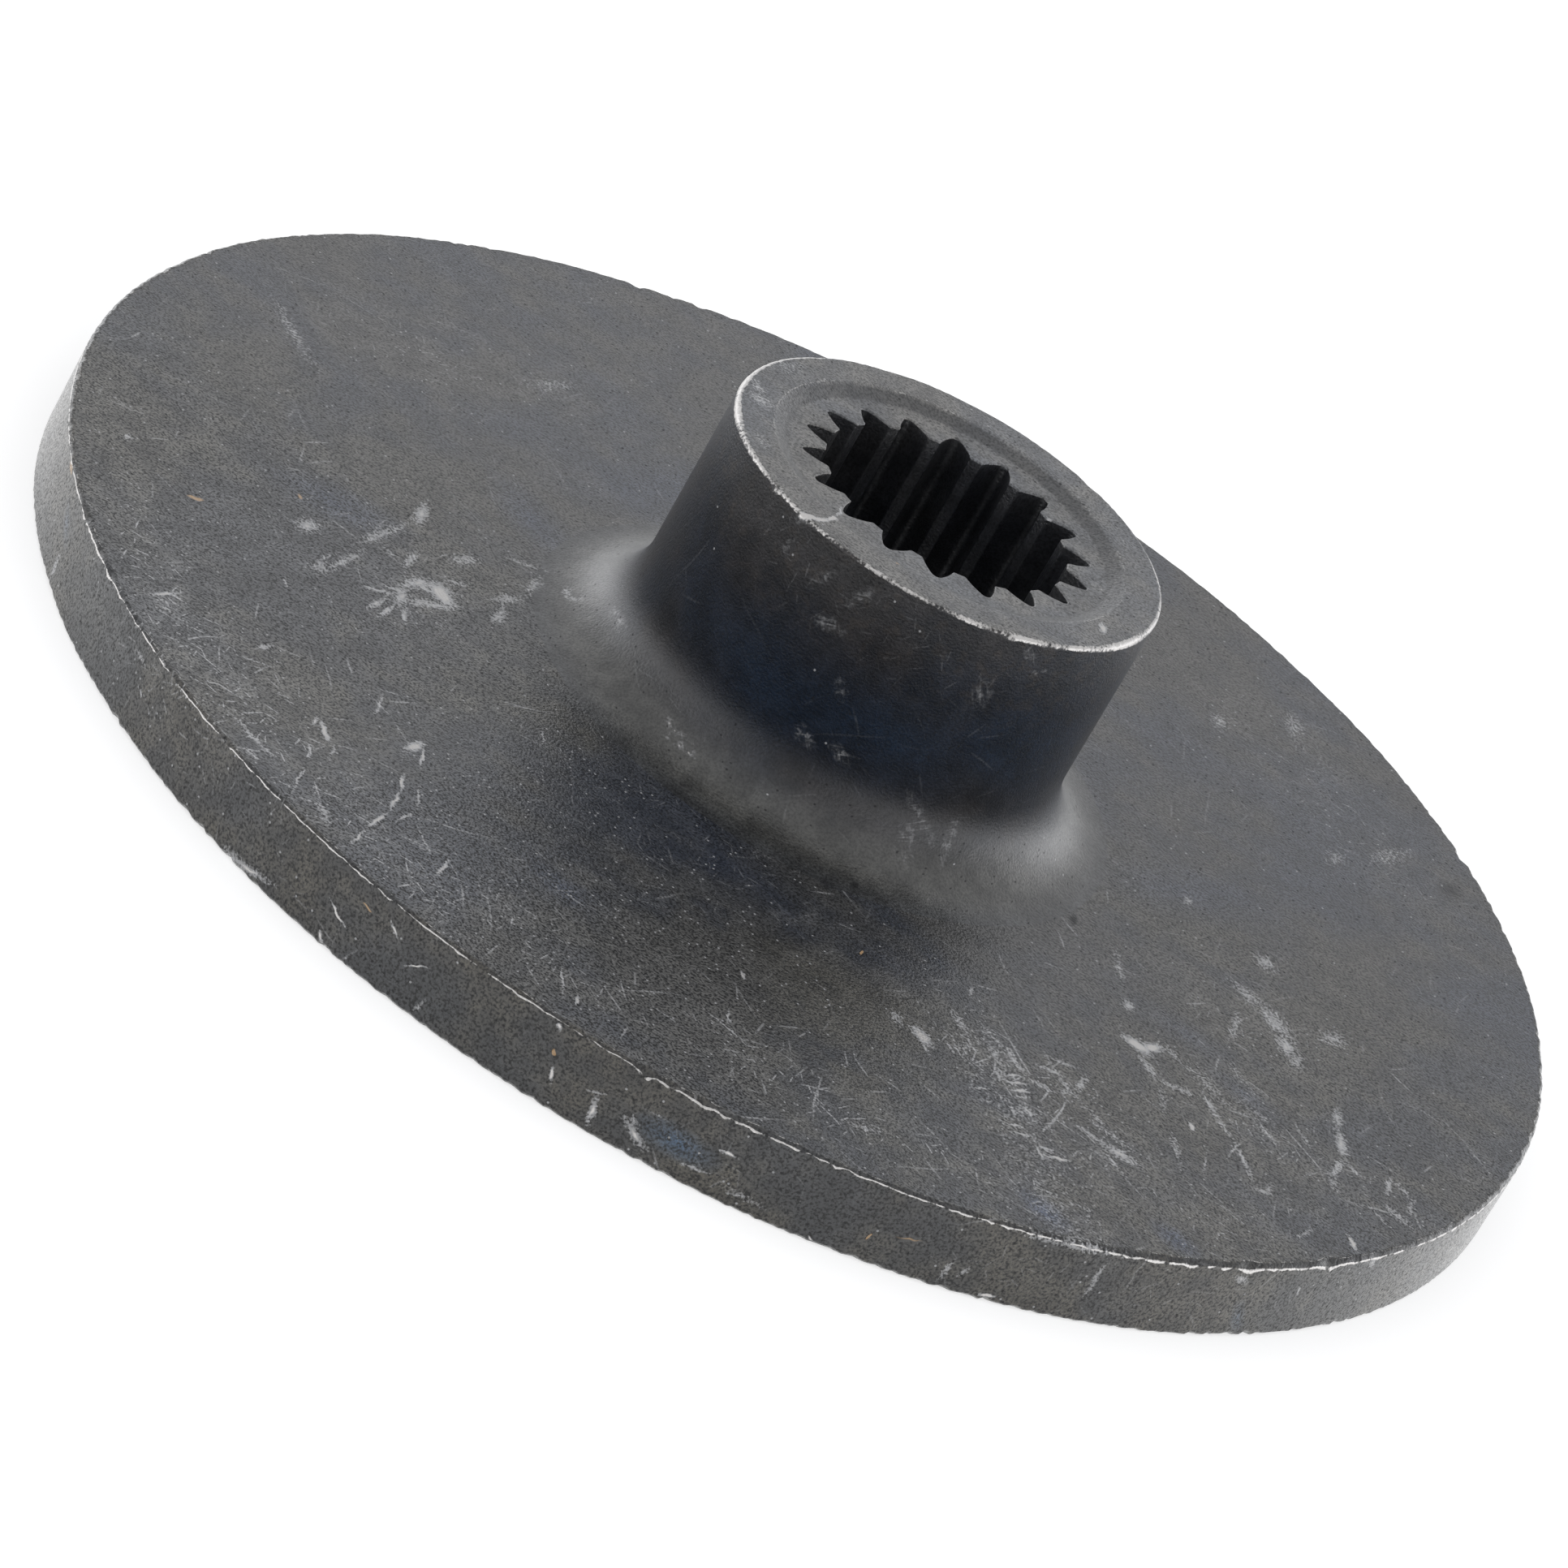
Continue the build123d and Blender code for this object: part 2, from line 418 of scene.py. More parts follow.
# Scuffs on the disc's front face: both ends, half width, strength
face_scuffs = [
    (-29.6, -2.0, -29.2, -5.5, 0.5, 0.6), (-29.8, -6.0, -31.6, -13.0, 0.4, 0.45),
    (-30.6, -12.0, -32.2, -19.5, 0.35, 0.45), (-32.4, -17.5, -32.2, -18.6, 0.7, 0.45),
    (-25.6, -12.0, -24.6, -13.0, 0.9, 0.9), (-26.0, -11.4, -27.4, -14.2, 0.6, 0.6),
    (-27.3, -14.2, -26.8, -17.2, 0.55, 0.6), (-27.6, -16.8, -28.4, -20.0, 0.25, 0.6),
    (-27.0, -17.0, -27.5, -20.2, 0.25, 0.6), (-26.5, -16.5, -25.8, -19.0, 0.25, 0.55),
    (-25.2, -14.0, -26.4, -16.0, 0.5, 0.55), (-28.1, -9.0, -28.0, -12.0, 0.4, 0.5),
    (-24.8, -5.5, -25.8, -7.5, 0.7, 0.45), (-20.7, -2.5, -20.6, -6.5, 0.4, 0.45),
    (-20.8, -7.0, -22.3, -9.6, 0.5, 0.5), (-21.2, -9.8, -21.3, -12.3, 0.5, 0.5),
    (-34.5, -13.2, -34.9, -14.6, 0.7, 0.6), (-47.2, -15.6, -47.3, -16.4, 0.35, 0.45),
    (-33.6, -21.8, -33.2, -22.9, 0.2, 0.45), (-47.0, 14.0, -40.6, 6.5, 0.7, 0.28),
    (-26.0, 27.0, -30.0, 21.0, 0.8, 0.25), (-38.0, -31.0, -39.6, -33.7, 0.2, 0.75),
    (-38.4, -31.9, -37.6, -32.0, 0.16, 0.55), (-38.7, -32.6, -37.5, -32.7, 0.16, 0.55),
    (-39.0, -33.2, -37.5, -33.3, 0.16, 0.55), (-38.9, -33.9, -37.4, -34.0, 0.16, 0.5),
    (-38.8, -34.5, -37.6, -34.7, 0.16, 0.45), (-31.5, -30.8, -32.2, -32.5, 0.2, 0.55),
    (-30.2, -33.2, -33.6, -34.8, 0.15, 0.45), (-24.2, -28.6, -23.6, -32.5, 0.14, 0.55),
    (-20.2, -31.8, -20.9, -34.1, 0.35, 0.8), (-20.3, -31.5, -19.3, -35.5, 0.14, 0.7),
    (-26.3, -36.0, -24.8, -38.5, 0.22, 0.9), (-26.5, -36.2, -26.4, -37.4, 0.16, 0.7),
    (-25.9, -39.5, -25.2, -41.6, 0.14, 0.6), (-24.6, -38.0, -24.2, -40.2, 0.14, 0.55),
    (-20.0, -36.7, -19.6, -39.2, 0.15, 0.85), (-19.6, -39.0, -19.4, -42.0, 0.15, 0.85),
    (-19.4, -42.0, -19.9, -45.6, 0.15, 0.85), (-19.9, -45.6, -20.0, -48.4, 0.13, 0.75),
    (-19.0, -36.5, -18.0, -40.2, 0.12, 0.55), (-18.0, -40.2, -18.8, -43.2, 0.12, 0.55),
    (-17.8, -41.5, -15.5, -44.5, 0.12, 0.45), (-14.6, -43.3, -14.8, -46.6, 0.14, 0.75),
    (-31.0, -41.5, -26.4, -44.2, 0.3, 0.5), (-28.8, -44.6, -27.6, -45.0, 0.3, 0.5),
    (-25.2, -42.0, -24.8, -47.0, 0.12, 0.6), (-24.6, -43.0, -23.0, -45.6, 0.12, 0.6),
    (-23.4, -45.4, -21.8, -47.6, 0.4, 0.4), (-5.5, -47.6, -4.2, -51.4, 0.12, 0.6),
    (-3.5, -50.2, -3.4, -51.3, 0.13, 0.9), (-14.8, -21.4, -14.0, -24.2, 0.12, 0.35),
    (-13.6, -22.0, -12.0, -24.4, 0.12, 0.3), (-13.8, -25.0, -12.4, -29.0, 0.12, 0.3),
    (32.0, -2.5, 34.0, -3.5, 1.0, 0.4), (34.5, -3.6, 36.2, -5.0, 1.1, 0.5),
    (36.4, -6.0, 37.0, -7.4, 0.8, 0.6), (32.8, -5.5, 33.4, -10.2, 0.4, 0.4),
    (37.5, -6.5, 38.0, -9.0, 0.7, 0.35), (38.8, -3.0, 39.8, -1.2, 0.9, 0.4),
    (23.9, -6.8, 25.4, -11.2, 0.4, 0.35), (26.2, -12.8, 26.5, -13.7, 0.5, 0.5),
    (27.4, -17.4, 28.6, -17.6, 0.7, 0.9), (28.6, -17.3, 29.3, -16.2, 0.6, 0.8),
    (28.2, -18.3, 30.2, -20.6, 0.4, 0.5), (30.0, -20.4, 33.0, -19.4, 0.4, 0.4),
    (33.0, -18.6, 34.8, -20.8, 0.4, 0.45), (30.4, -20.8, 31.6, -24.2, 0.35, 0.35),
    (31.5, -16.0, 34.5, -18.2, 1.0, 0.28), (41.3, -10.4, 42.0, -13.4, 0.4, 0.55),
    (41.9, -13.0, 43.1, -16.6, 0.5, 0.6), (43.0, -16.4, 42.8, -19.6, 0.35, 0.5),
    (43.2, -16.8, 44.6, -17.6, 0.25, 0.4), (46.2, -14.9, 46.6, -18.6, 0.22, 0.55),
    (46.3, -15.4, 48.4, -16.8, 0.3, 0.4), (48.2, -16.6, 48.3, -18.8, 0.28, 0.45),
    (46.8, -19.2, 48.6, -20.0, 0.55, 0.45), (45.2, -20.2, 47.8, -21.8, 0.2, 0.45),
    (42.5, -19.5, 43.4, -20.8, 0.5, 0.3), (33.3, -23.3, 33.5, -23.9, 0.24, 1.1),
    (36.6, -21.4, 36.2, -25.2, 0.1, 0.55), (36.0, -22.0, 38.8, -26.4, 0.28, 0.5),
    (39.3, -24.8, 39.6, -26.2, 0.28, 0.5), (38.6, -26.6, 39.7, -26.0, 0.28, 0.5),
    (32.2, -25.4, 34.0, -29.4, 0.35, 0.35), (34.9, -25.2, 35.3, -28.6, 0.13, 0.45),
    (26.0, -24.8, 25.9, -27.6, 0.35, 0.45), (25.8, -27.4, 24.6, -29.2, 0.35, 0.45),
    (24.8, -29.2, 22.8, -29.4, 0.3, 0.45), (25.6, -24.6, 23.2, -25.4, 0.35, 0.35),
    (20.2, -26.6, 22.8, -29.4, 0.35, 0.4), (17.1, -22.0, 17.1, -23.9, 0.18, 0.45),
    (16.4, -26.4, 18.6, -28.8, 0.45, 0.35), (17.4, -30.0, 18.8, -31.6, 0.13, 0.5),
    (17.0, -30.4, 18.2, -31.8, 0.13, 0.5), (17.8, -29.7, 19.2, -31.2, 0.13, 0.5),
    (15.3, -31.3, 16.2, -32.2, 0.6, 0.85), (16.0, -32.4, 16.6, -33.4, 0.2, 0.6),
    (13.5, -30.6, 14.2, -32.0, 0.5, 0.35), (21.3, -30.7, 22.5, -29.3, 0.15, 0.7),
    (21.7, -31.3, 23.0, -29.9, 0.17, 0.8), (22.1, -32.0, 23.4, -30.7, 0.17, 0.8),
    (22.4, -32.6, 23.6, -31.4, 0.15, 0.6), (19.6, -34.7, 21.4, -32.8, 0.13, 0.5),
    (20.8, -35.2, 21.7, -34.4, 0.13, 0.5), (23.2, -33.0, 24.1, -33.3, 0.4, 0.6),
    (22.7, -36.3, 24.1, -35.1, 0.15, 0.65), (23.4, -36.7, 24.9, -35.7, 0.15, 0.65),
    (25.2, -36.5, 26.5, -36.2, 0.3, 0.5), (26.0, -36.9, 27.5, -36.2, 0.2, 0.9),
    (25.4, -37.4, 26.8, -36.8, 0.14, 0.6), (25.0, -36.4, 26.1, -38.1, 0.1, 0.7),
    (26.5, -31.4, 29.6, -31.9, 0.3, 0.55), (28.8, -31.8, 31.4, -31.9, 0.65, 0.6),
    (4.5, -41.5, 5.2, -43.7, 0.13, 0.6), (2.5, -43.2, 8.0, -44.8, 0.12, 0.55),
    (4.1, -36.7, 4.6, -37.2, 0.14, 1.0), (45.2, -25.4, 46.1, -26.8, 0.25, 0.9),
    (43.1, -27.0, 42.2, -29.6, 0.2, 0.45), (14.0, -47.0, 17.0, -45.2, 0.5, 0.3),
    (-24.2, -11.4, -26.6, -12.2, 0.5, 0.6), (-25.0, -12.8, -27.6, -13.2, 0.35, 0.6),
    (-24.4, -13.6, -25.4, -15.2, 0.4, 0.55), (-26.2, -14.8, -28.6, -15.6, 0.3, 0.55),
    (-27.0, -15.6, -29.6, -17.6, 0.25, 0.5), (-25.4, -10.6, -24.0, -9.2, 0.4, 0.4),
    (-23.6, -12.4, -24.6, -14.6, 0.35, 0.5), (-28.6, -11.4, -30.4, -10.6, 0.3, 0.35),
    (-29.4, -4.6, -31.0, -12.6, 0.2, 0.4), (-31.6, -13.2, -33.4, -20.6, 0.2, 0.35),
    (-22.0, -8.0, -21.0, -11.0, 0.4, 0.35), (-24.0, -3.0, -20.0, -1.6, 0.35, 0.3),
    (19.0, -27.6, 21.6, -30.4, 0.25, 0.4), (18.4, -26.0, 20.6, -27.4, 0.4, 0.35),
    (24.0, -26.8, 26.6, -28.6, 0.35, 0.4), (26.6, -28.4, 29.0, -30.2, 0.3, 0.4),
    (27.6, -29.8, 30.6, -30.6, 0.5, 0.35), (22.8, -27.2, 25.0, -26.4, 0.3, 0.45),
    (20.4, -30.2, 21.8, -32.0, 0.2, 0.5), (22.6, -33.6, 23.4, -34.8, 0.25, 0.5),
    (29.0, -32.6, 31.0, -34.2, 0.25, 0.4), (34.0, -20.2, 36.6, -22.6, 0.3, 0.35),
    (36.4, -18.2, 39.4, -19.8, 0.35, 0.35), (39.0, -15.6, 41.2, -17.8, 0.3, 0.35),
    (35.0, -17.0, 38.6, -17.4, 0.6, 0.25), (33.4, -12.6, 36.0, -15.0, 0.5, 0.25),
    (29.4, -15.2, 31.4, -17.0, 0.4, 0.35), (23.0, 32.8, 23.2, 31.6, 0.8, 0.35),
    (27.5, 39.5, 28.2, 36.5, 0.9, 0.28), (38.5, 29.0, 37.0, 25.5, 0.9, 0.3),
    (34.6, 23.4, 34.2, 21.6, 0.8, 0.3), (32.8, 2.9, 33.3, 2.2, 0.9, 0.45), (26.7, 5.4, 26.8, 4.2, 0.4, 0.4),
]
# Scuffs on the rim: degrees and height at both ends, half width, strength
rim_scuffs = [
    (-135.2, 4.5, -133.0, 4.3, 0.22, 0.5), (-133.2, 3.0, -131.7, 2.9, 0.12, 0.45),
    (-149.0, 2.3, -148.6, 0.4, 0.35, 0.5), (-111.2, 3.0, -109.0, 2.05, 0.1, 1.0),
    (-106.7, 4.5, -105.6, 3.8, 0.1, 0.8), (-104.5, 2.6, -102.8, 3.6, 0.09, 0.8),
    (-119.8, 0.15, -114.6, 1.05, 0.3, 0.65), (-119.8, 0.2, -117.5, 0.35, 0.5, 0.5),
    (-110.8, 0.9, -109.9, 0.1, 0.12, 0.8), (-102.0, 1.7, -102.5, 0.3, 0.18, 0.4),
    (-92.8, 2.8, -92.4, 1.7, 0.14, 0.9), (-93.8, 5.5, -93.6, 5.1, 0.14, 0.8),
    (-89.4, 2.7, -89.0, 0.5, 0.25, 0.7), (-90.2, 2.5, -88.8, 3.1, 0.12, 0.5),
    (-87.2, 2.2, -85.0, 1.0, 0.35, 0.65), (-86.9, 2.5, -86.3, 2.3, 0.25, 0.5),
    (-80.9, 3.35, -79.6, 3.35, 0.12, 0.9), (-82.8, 1.2, -80.4, 1.65, 0.12, 0.5),
    (-80.0, 1.2, -76.0, 1.0, 0.3, 0.3), (-73.0, 0.45, -72.5, 0.15, 0.1, 0.8),
    (-63.4, 2.3, -63.8, 0.5, 0.22, 0.45), (-62.2, 2.1, -62.6, 1.3, 0.22, 0.4),
    (-60.6, 0.4, -59.4, 0.7, 0.14, 1.0), (-53.3, 5.3, -53.3, 1.9, 0.25, 0.5),
    (-61.0, 5.5, -51.0, 5.5, 0.28, 0.55), (-42.3, 4.9, -41.2, 4.4, 0.35, 0.6),
    (-35.6, 4.1, -35.3, 3.2, 0.14, 0.6), (-29.0, 5.5, -28.4, 4.8, 0.28, 0.6),
    (40.0, 3.0, 44.0, 2.2, 0.2, 0.5), (96.0, 4.2, 97.5, 1.5, 0.18, 0.5),
    (150.0, 2.0, 153.0, 3.4, 0.15, 0.6),
]
# Scuffs on the hub wall: degrees and height at both ends, half width, strength
hub_scuffs = [
    (-101.7, 19.1, -96.2, 19.3, 0.5, 0.35), (-108.2, 20.6, -104.0, 22.4, 0.35, 0.3),
    (-98.1, 21.0, -94.0, 22.8, 0.4, 0.32), (-119.0, 21.0, -117.0, 22.6, 0.25, 0.3),
    (-92.3, 11.9, -89.4, 11.5, 0.5, 0.4), (-84.1, 12.1, -79.2, 11.5, 0.4, 0.45),
    (-59.1, 20.4, -58.6, 18.4, 0.7, 0.22), (-49.2, 21.8, -46.0, 22.0, 0.25, 0.4),
    (-54.0, 23.6, -50.0, 22.6, 0.35, 0.35), (-90.1, 16.3, -88.0, 15.4, 0.4, 0.2),
    (30.0, 20.0, 36.0, 17.0, 0.3, 0.3), (110.0, 22.0, 118.0, 21.0, 0.3, 0.35),
    (-175.0, 18.0, -170.0, 20.5, 0.3, 0.25),
]
# Scuffs on the hub's end: both ends, half width, strength
end_scuffs = [
    (-7.6, -13.5, -6.4, -13.3, 0.3, 1.3), (-6.6, -13.4, -5.8, -12.4, 0.22, 1.2),
    (-5.9, -12.5, -5.4, -11.2, 0.2, 1.2), (-5.6, -10.6, -5.6, -8.2, 0.16, 1.1),
    (-14.4, -1.4, -13.2, -2.0, 0.8, 0.4), (-14.9, 0.6, -14.0, -0.8, 0.5, 0.4),
    (-12.6, -6.4, -11.6, -8.0, 0.5, 0.25), (12.5, -4.7, 12.8, -6.0, 0.28, 0.9),
    (6.05, 6.5, 6.4, 5.8, 0.35, 1.0), (-14.2, 4.0, -13.0, 6.4, 0.6, 0.3),
]
# Scuffs on the base round: start and end points, half width, strength
base_scuffs = [
    (-8.3, -15.0, 7.5, -8.0, -15.3, 7.4, 0.3, 0.6), (-7.7, -15.5, 7.4, -7.4, -15.7, 7.3, 0.25, 0.6),
    (-8.0, -15.8, 7.0, -7.7, -16.0, 7.0, 0.25, 0.5), (-7.0, -16.3, 7.0, -6.7, -16.3, 7.1, 0.3, 0.6),
    (-6.3, -16.5, 7.1, -5.8, -16.6, 7.0, 0.28, 0.6), (-7.2, -15.6, 7.6, -6.9, -15.8, 7.5, 0.2, 0.5),
    (-6.5, -16.0, 7.4, -6.2, -16.1, 7.4, 0.22, 0.5), (-15.4, -6.2, 8.1, -13.8, -8.9, 8.3, 0.4, 0.5),
    (-18.9, -3.0, 6.3, -18.5, -4.6, 6.4, 0.28, 0.5), (-18.5, -4.6, 6.4, -17.5, -4.7, 6.7, 0.3, 0.55),
    (-17.5, -4.7, 6.7, -17.4, -3.6, 6.8, 0.22, 0.4), (7.3, -13.7, 11.1, 10.3, -12.7, 8.4, 0.4, 0.35),
    (10.9, -11.3, 10.1, 11.3, -12.6, 7.6, 0.45, 0.4), (8.6, -13.6, 9.4, 9.2, -14.6, 7.6, 0.8, 0.3),
]
# Small ochre flecks: both ends, half width, strength
ochre_flecks = [
    on_face(-41.8, -18.9, -40.9, -18.4, 0.3, 1.0), on_face(-36.4, -10.5, -36.1, -11.0, 0.2, 0.6),
    on_face(9.9, -25.8, 9.9, -26.3, 0.16, 1.2), on_end(-0.72, -12.7, -0.6, -12.5, 0.2, 1.6),
    on_rim(-109.0, 4.3, -108.0, 4.2, 0.09, 1.1), on_rim(-93.3, 3.9, -93.0, 3.5, 0.14, 1.0),
    on_rim(-69.6, 1.7, -69.4, 2.1, 0.1, 1.2), on_rim(-68.3, 2.45, -65.7, 2.95, 0.12, 0.5),
    on_rim(-155.4, 5.5, -153.6, 5.5, 0.2, 0.9),
]
# Patches with a blue tint: both ends, half width, strength. The wide one on the face in front of the hub is a
# painted reflection of the blue hub wall; the others are blue oxide.
blue_tints_and_painted_reflection = [
    on_rim(-85.6, 2.6, -81.2, 2.3, 1.3, 1.2), on_rim(-152.0, 4.4, -148.8, 3.0, 0.6, 0.8),
    on_rim(-40.5, 2.6, -39.2, 0.6, 0.7, 0.7), on_face(34.8, -37.8, 36.2, -38.2, 1.6, 1.0),
    on_face(26.8, -43.2, 28.2, -43.8, 1.6, 1.1), on_face(28.0, -12.0, 33.0, -12.8, 2.2, 0.5),
    on_face(33.0, -15.0, 38.0, -16.5, 1.8, 0.5), on_face(-9.0, -38.5, -7.0, -39.5, 1.8, 0.4),
    on_face(-38.5, -10.0, -31.0, -8.0, 3.0, 0.6), on_face(-25.0, 5.5, -21.0, 2.0, 3.0, 0.8),
    # The wide patch on the face in front of the hub is a painted reflection of the blue hub wall
    on_face(-8.0, -25.0, 10.0, -25.0, 7.0, 0.35), on_face(22.0, 2.0, 30.0, 9.0, 4.0, 0.6),
    on_face(-14.0, 22.0, -22.0, 12.0, 4.0, 0.6), on_hub(-125.0, 13.5, -95.0, 13.5, 4.5, 1.0),
    on_hub(-100.0, 14.0, -55.0, 14.5, 5.5, 1.3), on_hub(-60.0, 15.5, -25.0, 16.0, 4.5, 1.0),
]
# Rubbed stretches, where fine scratches crowd: both ends, half width, strength
rubbed_stretches = [
    on_face(-40.0, -32.0, -22.0, -45.0, 7.0, 1.2), on_face(-16.0, -44.0, -2.0, -49.0, 5.0, 0.8),
    on_face(4.0, -46.0, 18.0, -46.0, 5.5, 0.8), on_face(17.0, -27.0, 31.0, -34.0, 7.5, 0.9),
    on_face(31.0, -7.0, 37.0, -6.0, 6.0, 0.5), on_face(30.0, -19.0, 47.0, -18.0, 6.0, 0.7),
    on_face(-27.0, -12.0, -26.0, -18.0, 5.0, 0.7), on_face(42.0, -25.0, 36.0, -36.0, 4.0, 0.6),
    on_face(-45.0, 12.0, -28.0, 23.0, 8.0, 0.4), on_face(24.0, 36.0, 38.0, 26.0, 8.0, 0.45),
    on_rim(-120.0, 2.9, -75.0, 2.9, 4.0, 0.6), on_rim(-65.0, 2.9, -30.0, 2.9, 4.0, 0.5),
    on_hub(-128.0, 21.0, -100.0, 21.0, 4.0, 0.14), on_hub(-95.0, 21.0, -55.0, 21.0, 4.5, 0.12),
    on_face(12.0, -47.0, 30.0, -41.0, 4.0, 0.8), on_face(-30.0, -42.5, -10.0, -50.5, 3.2, 1.5),
    on_face(-46.0, -22.0, -35.0, -38.0, 4.0, 1.1),
]
# Dark spots: both ends, half width, strength
dark_spots = [
    on_face(20.6, -6.2, 20.7, -6.9, 0.45, 1.6), on_face(42.6, 28.2, 42.4, 26.9, 1.2, 0.8),
    on_face(7.3, -18.5, 7.3, -18.9, 0.4, 1.2), on_hub(-126.0, 17.6, -125.0, 17.2, 0.6, 0.9),
    on_face(-12.0, 41.0, -11.0, 40.0, 0.8, 0.8),
]

# Looks of each zone: cool, warm and blue tint of the oxide, the blue also painting the hub's reflection on the
# face in front of it, roughness and refractive index of the coat, specular level, how many random scratches,
# shares of the grain cells with a pore and with a pale speck, strength of grain with its painted glints, and
# strength of mottle
face_cool, face_warm, face_blue_and_reflection = (0.0175, 0.0195, 0.0245), (0.029, 0.027, 0.022), (0.010, 0.021, 0.050)
zone_looks = {
    "back face": (
        face_cool, face_warm, face_blue_and_reflection,
        0.34, 1.6, 0.5, 0.7, 0.12, 0.015, 0.8, 0.8,
    ),
    "rim": (
        (0.0085, 0.0095, 0.011), (0.022, 0.019, 0.013), (0.008, 0.026, 0.052),
        0.14, 1.52, 0.42, 0.6, 0.2, 0.02, 1.0, 1.0,
    ),
    "hub wall": (
        (0.005, 0.008, 0.015), (0.012, 0.011, 0.012), (0.003, 0.010, 0.023),
        0.36, 1.6, 0.3, 0.12, 0.06, 0.003, 0.25, 1.1,
    ),
    "hub end": (
        (0.056, 0.060, 0.068), (0.068, 0.065, 0.060), face_blue_and_reflection,
        0.34, 1.6, 0.5, 0.2, 0.08, 0.01, 0.6, 1.0,
    ),
    "face behind": (
        (0.016, 0.0195, 0.029), (0.028, 0.026, 0.023), face_blue_and_reflection,
        0.34, 1.6, 0.5, 0.4, 0.08, 0.01, 0.6, 0.85,
    ),
    "face left": (
        (0.020, 0.021, 0.0235), face_warm, face_blue_and_reflection,
        0.34, 1.6, 0.5, 1.0, 0.14, 0.04, 1.1, 1.3,
    ),
    "face front": (
        face_cool, (0.026, 0.025, 0.023), face_blue_and_reflection,
        0.34, 1.6, 0.5, 1.0, 0.16, 0.05, 1.4, 0.45,
    ),
    "face right inner": (
        (0.015, 0.019, 0.028), (0.025, 0.024, 0.023), face_blue_and_reflection,
        0.34, 1.6, 0.5, 1.0, 0.12, 0.015, 0.8, 0.9,
    ),
    "face right outer": (
        face_cool, face_warm, face_blue_and_reflection,
        0.34, 1.6, 0.5, 1.0, 0.14, 0.03, 1.0, 1.15,
    ),
    "bore": (
        (0.008, 0.009, 0.012), (0.011, 0.011, 0.012), face_blue_and_reflection,
        0.4, 1.6, 0.35, 0.0, 0.0, 0.0, 0.4, 1.0,
    ),
}
# Colours over the oxide
scuff_colour = (0.45, 0.45, 0.455, 1.0)
ochre_colour = (0.42, 0.27, 0.14, 1.0)
bare_metal = (0.62, 0.60, 0.58, 1.0)
pore_colour = (0.003, 0.003, 0.004, 1.0)
# Painted shade on the rim's front chamfer and the recess wall
facet_colour = (0.006, 0.006, 0.007, 1.0)
base_round_colour = (0.036, 0.035, 0.031, 1.0)
toe_colour = (0.024, 0.025, 0.026, 1.0)
flake_colour = (0.030, 0.024, 0.020, 1.0)
# Sizes of the patterns in millimetres
grain_size, mottle_size, cloud_size, pore_cell, flake_size = 0.18, 2.2, 12.0, 0.5, 0.9
# How much wider and stronger the scuffs are drawn than their cores
scuff_spread, scuff_boost = 1.35, 1.7

# Light levels, where 1 lights a matt surface to its own colour
sky_light = 0.6
side_light = 1.45
overhead_light = 0.2
front_shade = 0.25
floor_fill = 0.66
floor_colour = 0.55
floor_gap = 0.03 * MM
floor_half_side = 6.0
studio_white = (0.985, 0.995, 1.02, 1.0)

# Camera in metres, as fitted to the photograph
camera_place = (0.009245, -0.488960, 0.239911)
camera_right = Vector((0.86104, 0.23692, 0.44998))
camera_up = Vector((-0.50825, 0.37091, 0.77724))
sensor_width, camera_lens = 36.0, 189.66

zone_names = list(zone_looks)
unrolled_zones = {"rim", "hub wall", "bore"}

# Borders between the stretches of the front face: two angles in degrees and a radius, with the looks that
# the stretches share there, and the strength of the grain at the toe of the base round
left_border, right_border, ring_border = -122.0, -76.0, 33.0
border_grain, border_mottle, border_bump, toe_grain = 0.85, 0.9, 0.8, 0.6


def zone_at(x, y, z):
    """The zone of each point of the surface, from its radius, height and angle: the back face, the rim with its
    edges, the bore, the hub wall with the base round, the hub end, and five stretches of the front face."""
    radius, angle = np.hypot(x, y), np.degrees(np.arctan2(y, x))
    stretches = ("face behind", "face left", "face front", "face right inner", "face right outer")
    behind, left, front, right_inner, right_outer = (zone_names.index(name) for name in stretches)
    face_tests = [angle >= 0, angle < left_border, angle < right_border, radius < ring_border]
    face = np.select(face_tests, [behind, left, front, right_inner], right_outer)
    tests = [
        (z > hub_top - 0.7) & (radius < hub_radius - 0.12),
        z < 0.02,
        radius < mouth_ring + 0.1,
        radius < hub_radius + base_round,
        radius > rim_radius - 0.5,
    ]
    zones = [zone_names.index(name) for name in ("hub end", "back face", "bore", "hub wall", "rim")]
    return np.select(tests, zones, face)


def marks_by_zone(marks):
    """Each zone's own marks: those with a point in the zone, tried along the mark and a half width
    to each side."""
    found = {zone: [] for zone in range(len(zone_names))}
    shares = np.linspace(0, 1, 9)[:, None, None]
    sides = np.array([(0, 0, 0), (1, 0, 0), (-1, 0, 0), (0, 1, 0), (0, -1, 0)])
    for start, end, normal, half_width, strength in marks:
        tried = np.array(start) * (1 - shares) + np.array(end) * shares + sides * half_width
        for zone in np.unique(zone_at(*tried.reshape(-1, 3).T)):
            found[int(zone)].append((start, end, normal, half_width, strength))
    return found


